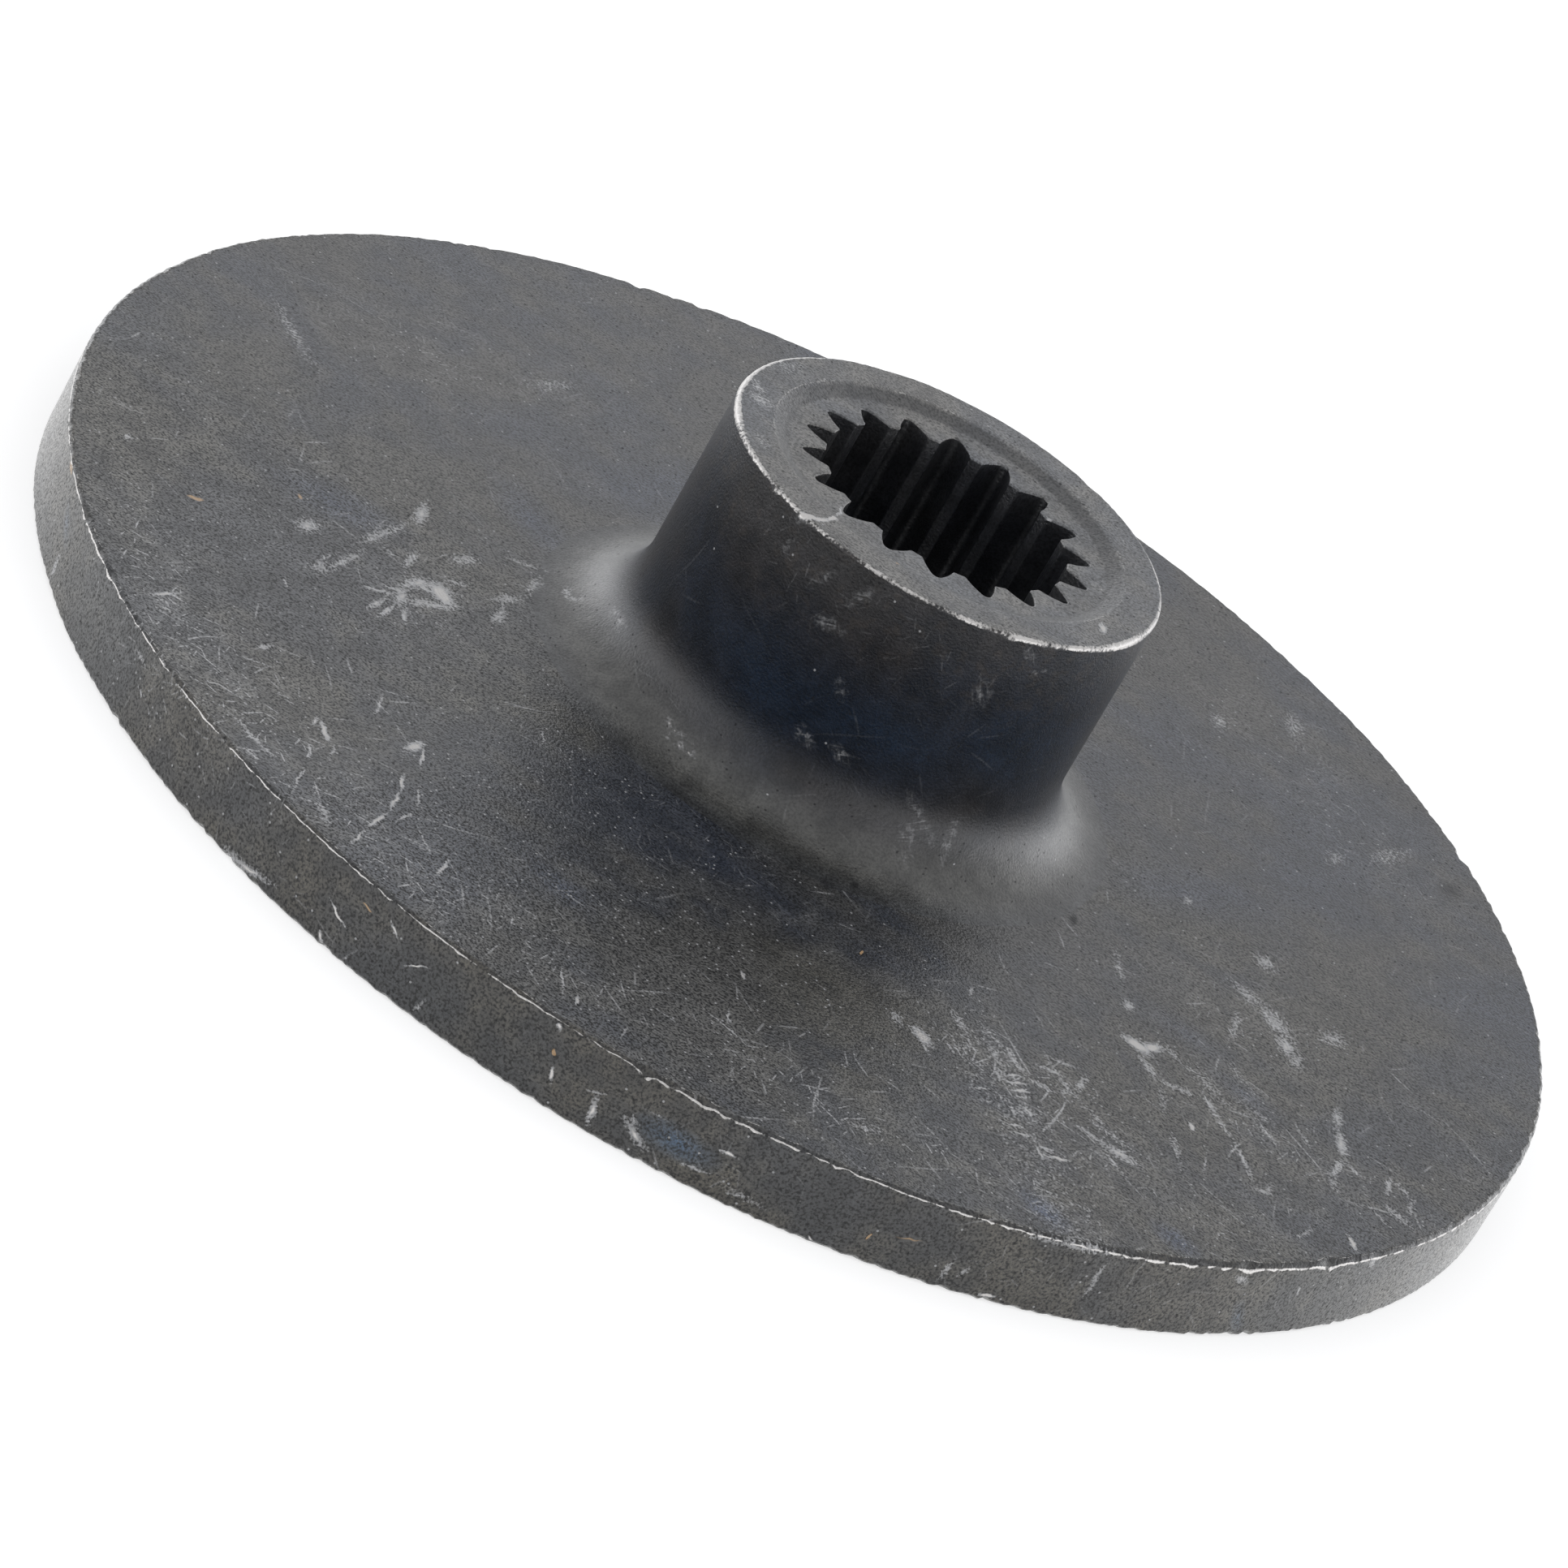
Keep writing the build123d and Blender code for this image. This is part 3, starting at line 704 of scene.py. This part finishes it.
def inside_share(finish, name, axes, radius):
    """How far inside its zone a place on the front face lies: 0 on the border with another zone and 1 some way
    in, as a product of ramps over the distance from each border line."""
    x, y = axes[0], axes[1]
    turns = [radians(left_border), radians(right_border)]
    across = [finish.math("MULTIPLY_ADD", x, -sin(a), finish.math("MULTIPLY", y, cos(a))) for a in turns]
    past_left, past_right = across
    right = [(y, 0.0, -9.0), (past_right, 0.0, 6.0)]
    limits = {
        "face behind": [(y, 0.0, 14.0)],
        "face left": [(y, 0.0, -9.0), (past_left, 0.0, -6.0)],
        "face front": [(past_left, 0.0, 6.0), (past_right, 0.0, -6.0)],
        "face right inner": right + [(radius, ring_border, ring_border - 5.0)],
        "face right outer": right + [(radius, ring_border, ring_border + 5.0)],
    }
    share = 1.0
    for place, start, end in limits[name]:
        share = finish.math("MULTIPLY", finish.ramp(place, start, end), share)
    return share


def oxide_finish(zone, scuff_marks, haze_marks, ochre_marks, blue_and_reflection_marks, dark_marks):
    """Dark oxide on sintered iron: blue and brown tints, fine grain with pores and painted glints, pale scuffs
    and scratches, ochre flecks, bare metal along the edges, painted shade on the rim's front chamfer and the
    recess wall, and a painted blue reflection of the hub on the face in front of it. Each zone of the surface
    has its own marks."""
    name = zone_names[zone]
    flat = name.startswith("face")
    on_hub_wall = name == "hub wall"
    cool, warm, blued_and_reflected, coat_roughness, coat_index, specular_level = zone_looks[name][:6]
    scratched, porous, speckled, grainy, mottled = zone_looks[name][6:]
    toe = hub_radius + base_round
    material = bpy.data.materials.new("oxide " + name)
    material.use_nodes = True
    finish = Finish(material.node_tree)

    # Places: millimetres in space, and a sheet laid on the surface or unrolled from it
    place = finish.node("TexCoord", {}).outputs["Object"]
    at = finish.vector("MULTIPLY", place, (1 / MM,) * 3)
    axes = finish.node("SeparateXYZ", {0: at}).outputs
    sheet = finish.combine(axes[0], axes[1])
    radius = finish.vector("LENGTH", sheet)
    if flat:
        inside = inside_share(finish, name, axes, radius)
    if name in unrolled_zones:
        angle = finish.math("ARCTAN2", axes[0], finish.math("MULTIPLY", axes[1], -1.0))
        around = finish.math("MULTIPLY", angle, radius)
        down = finish.math("SUBTRACT", axes[2], radius) if on_hub_wall else axes[2]
        sheet = finish.combine(finish.math("ADD", around, 300.0), finish.math("ADD", down, 40.0))

    # Grain, mottle and pores
    grain = finish.noise(at, grain_size, 1.0, 0.6)
    mottle = finish.noise(at, mottle_size, 2.0, 0.65)
    cloud = finish.noise(at, cloud_size, 2.0, 0.6)
    pores = finish.node("TexVoronoi", {"Vector": sheet, "Scale": 1 / pore_cell}, voronoi_dimensions="2D")
    pore_draw = finish.node("SeparateColor", {0: pores.outputs["Color"]}).outputs
    from_pore = pores.outputs["Distance"]
    has_pore = finish.math("LESS_THAN", pore_draw[0], porous)
    pit = finish.math("MULTIPLY", finish.ramp(from_pore, 0.26, 0.1), has_pore)
    broken = finish.ramp(grain, 0.34, 0.58, 0.4, 1.25)

    # Placed marks, the scuffs and tints with ragged outlines
    uneven = finish.vector("SUBTRACT", finish.noise(at, 0.6, 0.0, 0.6, True), (0.5,) * 3)
    ragged = finish.vector("ADD", at, finish.vector("MULTIPLY", uneven, (0.3,) * 3))
    scuffs = strongest_mark(finish, ragged, flat, scuff_marks)
    haze = strongest_mark(finish, at, flat, haze_marks)
    if haze_marks:
        speckled = finish.math("MULTIPLY_ADD", haze, 0.13, speckled)
    has_speck = finish.math("LESS_THAN", pore_draw[1], speckled)
    speck = finish.math("MULTIPLY", finish.ramp(from_pore, 0.22, 0.08), has_speck)
    ochre = strongest_mark(finish, ragged, flat, ochre_marks)
    blue = strongest_mark(finish, ragged, flat, blue_and_reflection_marks)
    dark = strongest_mark(finish, at, flat, dark_marks)

    # Pale scuffs, broken up by the grain and by two ways of fine streaks
    sway = finish.vector("MULTIPLY", finish.noise(at, 4.0, 0.0, 0.5, True), (0.8, 0.8, 0.0))
    bent = finish.vector("ADD", sheet, sway)
    one_way = streaks(finish, bent, -22.0, 2.8, 0.22)
    other_way = streaks(finish, bent, 58.0, 2.4, 0.2)
    patch = finish.noise(at, 4.0, 1.0, 0.5)
    one_way = finish.math("MULTIPLY", one_way, finish.ramp(patch, 0.4, 0.55))
    other_way = finish.math("MULTIPLY", other_way, finish.ramp(patch, 0.6, 0.45))
    drawn = finish.math("MAXIMUM", one_way, other_way)
    touch = finish.math("MULTIPLY_ADD", drawn, 0.2, finish.math("MULTIPLY_ADD", grain, 1.45, scuffs))
    pale = finish.math("MULTIPLY", finish.ramp(touch, 0.92, 1.6), finish.ramp(scuffs, 0.02, 0.14))
    pale = finish.math("MULTIPLY", pale, finish.math("MULTIPLY_ADD", drawn, 0.4, 0.7))
    if on_hub_wall:
        spotty = finish.ramp(finish.noise(at, 0.5, 1.0, 0.6), 0.5, 0.64, 0.06, 0.9)
        hatched = finish.math("MULTIPLY", scuffs, finish.math("MULTIPLY_ADD", drawn, 0.9, spotty))
        thin = finish.math("MULTIPLY", hatched, finish.ramp(grain, 0.35, 0.65, 0.3, 0.8))
        pale = finish.ramp(radius, hub_radius + 2.3, hub_radius + 3.6, thin, pale)

    # Random scratches, more of them where the surface is rubbed
    outward = finish.ramp(axes[1], -26.0, -45.0, 0.35, 1.0) if name == "face front" else 1.0
    if scratched:
        rubbed = finish.ramp(finish.noise(at, 7.0, 2.0, 0.6), 0.4, 0.68, 0.08, 0.55)
        rubbed = finish.math("MAXIMUM", rubbed, finish.math("MULTIPLY", haze, 0.9))
        share = finish.math("MULTIPLY", finish.math("MULTIPLY", rubbed, scratched), outward)
        hairs = random_strokes(finish, bent, 2.3, 1.7, 0.12, 0.5, 3.1)
        long_hairs = random_strokes(finish, bent, 6.5, 4.5, 0.13, 0.5, 11.3)
        strokes = finish.ramp(finish.math("MAXIMUM", hairs, long_hairs), 0.05, 0.6)
        strokes = finish.math("MULTIPLY", strokes, share)
        if haze_marks:
            short_hairs = finish.ramp(random_strokes(finish, bent, 1.0, 0.8, 0.08, 0.5, 7.7), 0.08, 0.45)
            smear = finish.math("MULTIPLY_ADD", drawn, 0.16, finish.math("MULTIPLY", short_hairs, 0.95))
            strokes = finish.math("MAXIMUM", strokes, finish.math("MULTIPLY", haze, smear))
            smudge = finish.math("MULTIPLY", haze, finish.ramp(mottle, 0.45, 0.62, 0.0, 0.09))
            strokes = finish.math("ADD", strokes, smudge)
        pale = finish.math("MULTIPLY_ADD", strokes, broken, pale)
    pale = finish.math("MINIMUM", pale, 1.0)

    # Bare metal on worn edges and in the deepest scuffs
    worn = finish.node("Attribute", {}, attribute_name="worn").outputs["Fac"]
    # Painted shade, a dark band kept per point on the rim's front chamfer and the recess wall
    facet = finish.node("Attribute", {}, attribute_name="facet").outputs["Fac"]
    bare = finish.ramp(finish.math("ADD", worn, finish.math("MULTIPLY_ADD", grain, 0.9, -0.45)), 0.35, 0.8)
    bare = finish.math("MAXIMUM", bare, finish.ramp(scuffs, 0.75, 1.1))

    # Tint and grain of the oxide with painted glints in the grain, eased towards shared values on the borders
    # of the face's stretches
    cool_tint, warm_tint = (*cool, 1.0), (*warm, 1.0)
    bump_strength = min(0.9, 0.3 + 0.6 * grainy)
    coarse = grainy
    if flat:
        cool_tint = finish.blend(inside, (*face_cool, 1.0), cool_tint)
        warm_tint = finish.blend(inside, (*face_warm, 1.0), warm_tint)
        coarse = finish.math("MULTIPLY", outward, grainy) if name == "face front" else grainy
        coarse = finish.ramp(inside, 0.0, 1.0, border_grain, coarse, False)
        coarse = finish.ramp(radius, toe, toe + 5.0, toe_grain, coarse)
        grainy = finish.ramp(inside, 0.0, 1.0, border_grain, grainy, False)
        mottled = finish.ramp(inside, 0.0, 1.0, border_mottle, mottled, False)
        bump_strength = finish.ramp(inside, 0.0, 1.0, border_bump, bump_strength, False)
    if on_hub_wall:
        coarse = finish.ramp(radius, hub_radius + 2.5, toe, grainy, toe_grain)
    warmth = finish.ramp(finish.math("MULTIPLY_ADD", mottle, 0.35, cloud), 0.54, 0.8)
    tint = finish.blend(warmth, cool_tint, warm_tint)
    # Blue tint of the oxide, and on the face in front of the hub a painted reflection of the blue hub wall
    tint = finish.blend(finish.math("MULTIPLY", blue, 0.85, clamp=True), tint, (*blued_and_reflected, 1.0))
    # Grain in the colour: the oxide's own grain, its light specks painted glints of the grain's facets
    grain_and_painted_glint = finish.ramp(grain, 0.34, 0.7, -0.87, 1.9, False)
    grain_and_painted_glint = finish.math("MULTIPLY_ADD", grain_and_painted_glint, coarse, 1.0)
    lift = finish.math("MULTIPLY_ADD", finish.ramp(mottle, 0.3, 0.7, -0.3, 0.32), mottled, 1.0)
    lift = finish.math("MULTIPLY", lift, grain_and_painted_glint)
    if on_hub_wall:
        tint = finish.blend(finish.ramp(axes[2], disc_top + 3.2, disc_top + 0.8), tint, base_round_colour)
        tint = finish.blend(finish.ramp(radius, hub_radius + 3.2, toe), tint, toe_colour)
        flaked = finish.ramp(finish.noise(at, flake_size, 2.0, 0.6), 0.5, 0.66)
        flaked = finish.math("MULTIPLY", flaked, finish.ramp(axes[2], 15.0, 22.0))
        tint = finish.blend(finish.math("MULTIPLY", flaked, 0.45), tint, flake_colour)

    # Colour, from the oxide up to the bare metal
    grained = finish.blend(1.0, tint, finish.combine(lift, lift, lift), "MULTIPLY")
    spots = finish.math("MULTIPLY", dark, 0.8, clamp=True)
    hollow = finish.math("MAXIMUM", finish.math("MULTIPLY", pit, 0.65), spots)
    pitted = finish.blend(hollow, grained, pore_colour)
    # Painted shade darkens the rim's front chamfer and the recess wall
    shaded = finish.blend(finish.math("MULTIPLY", facet, 0.8), pitted, facet_colour)
    lightened = finish.math("MAXIMUM", pale, finish.math("MULTIPLY", speck, 0.8))
    scuffed = finish.blend(lightened, shaded, scuff_colour)
    flecked = finish.blend(finish.ramp(ochre, 0.15, 0.5), scuffed, ochre_colour)
    colour = finish.blend(bare, flecked, bare_metal)

    # Relief, roughness and the thin clear coat
    relief = {"Height": grain, "Strength": bump_strength, "Distance": 0.00006}
    bump = finish.node("Bump", relief).outputs[0]
    rough = finish.ramp(mottle, 0.3, 0.7, 0.34, 0.44, False)
    rough = finish.math("ADD", rough, finish.math("MULTIPLY", pale, 0.12))
    rough = finish.math("ADD", rough, finish.math("MULTIPLY", pit, 0.25), clamp=True)
    coat = finish.math("MULTIPLY_ADD", finish.ramp(grain, 0.3, 0.58, -0.8, 0.0), grainy, 1.0)
    coat = finish.math("MULTIPLY", coat, finish.math("SUBTRACT", 1.0, hollow))
    cloudy = finish.math("MULTIPLY_ADD", finish.ramp(mottle, 0.3, 0.7, -0.09, 0.09), mottled, 0.98)
    coat = finish.math("MULTIPLY", coat, cloudy)
    if flat:
        coat = finish.math("MULTIPLY", coat, finish.ramp(axes[0], -25.0, 32.0, 1.03, 0.84))
    if on_hub_wall:
        low_down = finish.ramp(axes[2], disc_top + 1.5, disc_top + 5.1, 1.0, 0.06)
        high_up = finish.ramp(axes[2], 18.0, 23.8, 0.0, 0.42)
        coat = finish.math("MULTIPLY", coat, finish.math("ADD", low_down, high_up))
    shader = finish.node("BsdfPrincipled", {
        "Base Color": colour, "Roughness": rough, "Metallic": finish.math("MULTIPLY", bare, 0.85), "IOR": 1.5,
        "Specular IOR Level": specular_level, "Coat Weight": coat, "Coat Roughness": coat_roughness,
        "Coat IOR": coat_index, "Normal": bump,
    })
    if name != "rim":
        finish.links.new(bump, shader.inputs["Coat Normal"])
    finish.links.new(shader.outputs[0], finish.node("OutputMaterial", {}).inputs[0])
    return material


def floor_finish():
    """A matt pale floor, filled up to white for the rays that look at it, with the shadow kept,
    and open from below."""
    material = bpy.data.materials.new("pale matt floor")
    material.use_nodes = True
    finish = Finish(material.node_tree)
    matt = finish.node("BsdfDiffuse", {"Color": (floor_colour,) * 3 + (1.0,)}).outputs[0]
    ray = finish.node("LightPath", {}).outputs
    mirrored = finish.math("MAXIMUM", ray["Is Glossy Ray"], ray["Is Transmission Ray"])
    looked_at = finish.math("MAXIMUM", ray["Is Camera Ray"], mirrored)
    fill = finish.node("Emission", {"Strength": finish.math("MULTIPLY", looked_at, floor_fill)}).outputs[0]
    both = finish.node("AddShader", {0: matt, 1: fill}).outputs[0]
    under = finish.node("NewGeometry", {}).outputs["Backfacing"]
    clear = finish.node("BsdfTransparent", {}).outputs[0]
    seen = finish.node("MixShader", {0: under, 1: both, 2: clear}).outputs[0]
    finish.links.new(seen, finish.node("OutputMaterial", {}).inputs[0])
    return material


def lay_floor(half_side):
    """A flat square floor under the rotor."""
    mesh = bpy.data.meshes.new("floor")
    corners = [(x * half_side, y * half_side, -floor_gap) for x, y in ((-1, -1), (1, -1), (1, 1), (-1, 1))]
    mesh.from_pydata(corners, [], [(0, 1, 2, 3)])
    floor = bpy.data.objects.new("floor", mesh)
    mesh.materials.append(floor_finish())
    bpy.context.scene.collection.objects.link(floor)


def light_studio():
    """An even studio as a world of soft light: brighter low down at both sides, a little brighter overhead,
    and dimmer low down in front."""
    world = bpy.data.worlds.new("studio")
    bpy.context.scene.world = world
    world.use_nodes = True
    sky = Finish(world.node_tree)
    toward = sky.node("SeparateXYZ", {0: sky.node("TexCoord", {}).outputs["Generated"]}).outputs
    low = sky.ramp(toward[2], 0.6, 0.08)
    sideways = sky.ramp(sky.math("ABSOLUTE", toward[0]), 0.1, 0.55)
    front = sky.ramp(sky.math("MULTIPLY", toward[1], -1.0), 0.3, 0.9)
    level = sky.math("MULTIPLY_ADD", sky.math("MULTIPLY", low, sideways), side_light, sky_light)
    level = sky.math("MULTIPLY_ADD", sky.ramp(toward[2], 0.45, 0.85), overhead_light, level)
    level = sky.math("MULTIPLY_ADD", sky.math("MULTIPLY", low, front), -front_shade, level)
    shine = sky.node("Background", {"Color": studio_white, "Strength": level}).outputs[0]
    sky.links.new(shine, sky.node("OutputWorld", {}).inputs[0])


def set_camera():
    """The camera at the photograph's angle: in front of the disc, 26 degrees up, rolled by 30 degrees."""
    data = bpy.data.cameras.new("camera")
    data.sensor_width, data.lens = sensor_width, camera_lens
    data.clip_start, data.clip_end = 0.01, 100.0
    camera = bpy.data.objects.new("camera", data)
    backward = camera_right.cross(camera_up).normalized()
    up = backward.cross(camera_right).normalized()
    turned = Matrix((camera_right.normalized(), up, backward)).transposed().to_4x4()
    camera.matrix_world = Matrix.Translation(camera_place) @ turned
    bpy.context.scene.collection.objects.link(camera)
    bpy.context.scene.camera = camera


rotor_points, rotor_worn, rotor_facet = rotor_mesh()
rotor = grid_object("rotor", rotor_points, worn=rotor_worn, facet=rotor_facet)
scuffed_places = [on_face(*row) for row in face_scuffs] + [on_rim(*row) for row in rim_scuffs]
scuffed_places += [on_hub(*row) for row in hub_scuffs] + [on_end(*row) for row in end_scuffs]
scuffed_places += [(row[0:3], row[3:6], (row[0], row[1], 14.0), row[6], row[7]) for row in base_scuffs]
scuffed_places = [(*place[:3], place[3] * scuff_spread, place[4] * scuff_boost) for place in scuffed_places]
kinds = (scuffed_places, rubbed_stretches, ochre_flecks, blue_tints_and_painted_reflection, dark_spots)
marks = [marks_by_zone(places) for places in kinds]
for zone in range(len(zone_names)):
    rotor.data.materials.append(oxide_finish(zone, *(kind[zone] for kind in marks)))
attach(rotor, "root")
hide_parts("brake_rotor")

lay_floor(floor_half_side)
light_studio()
set_camera()
bpy.context.scene.view_settings.view_transform = "Standard"
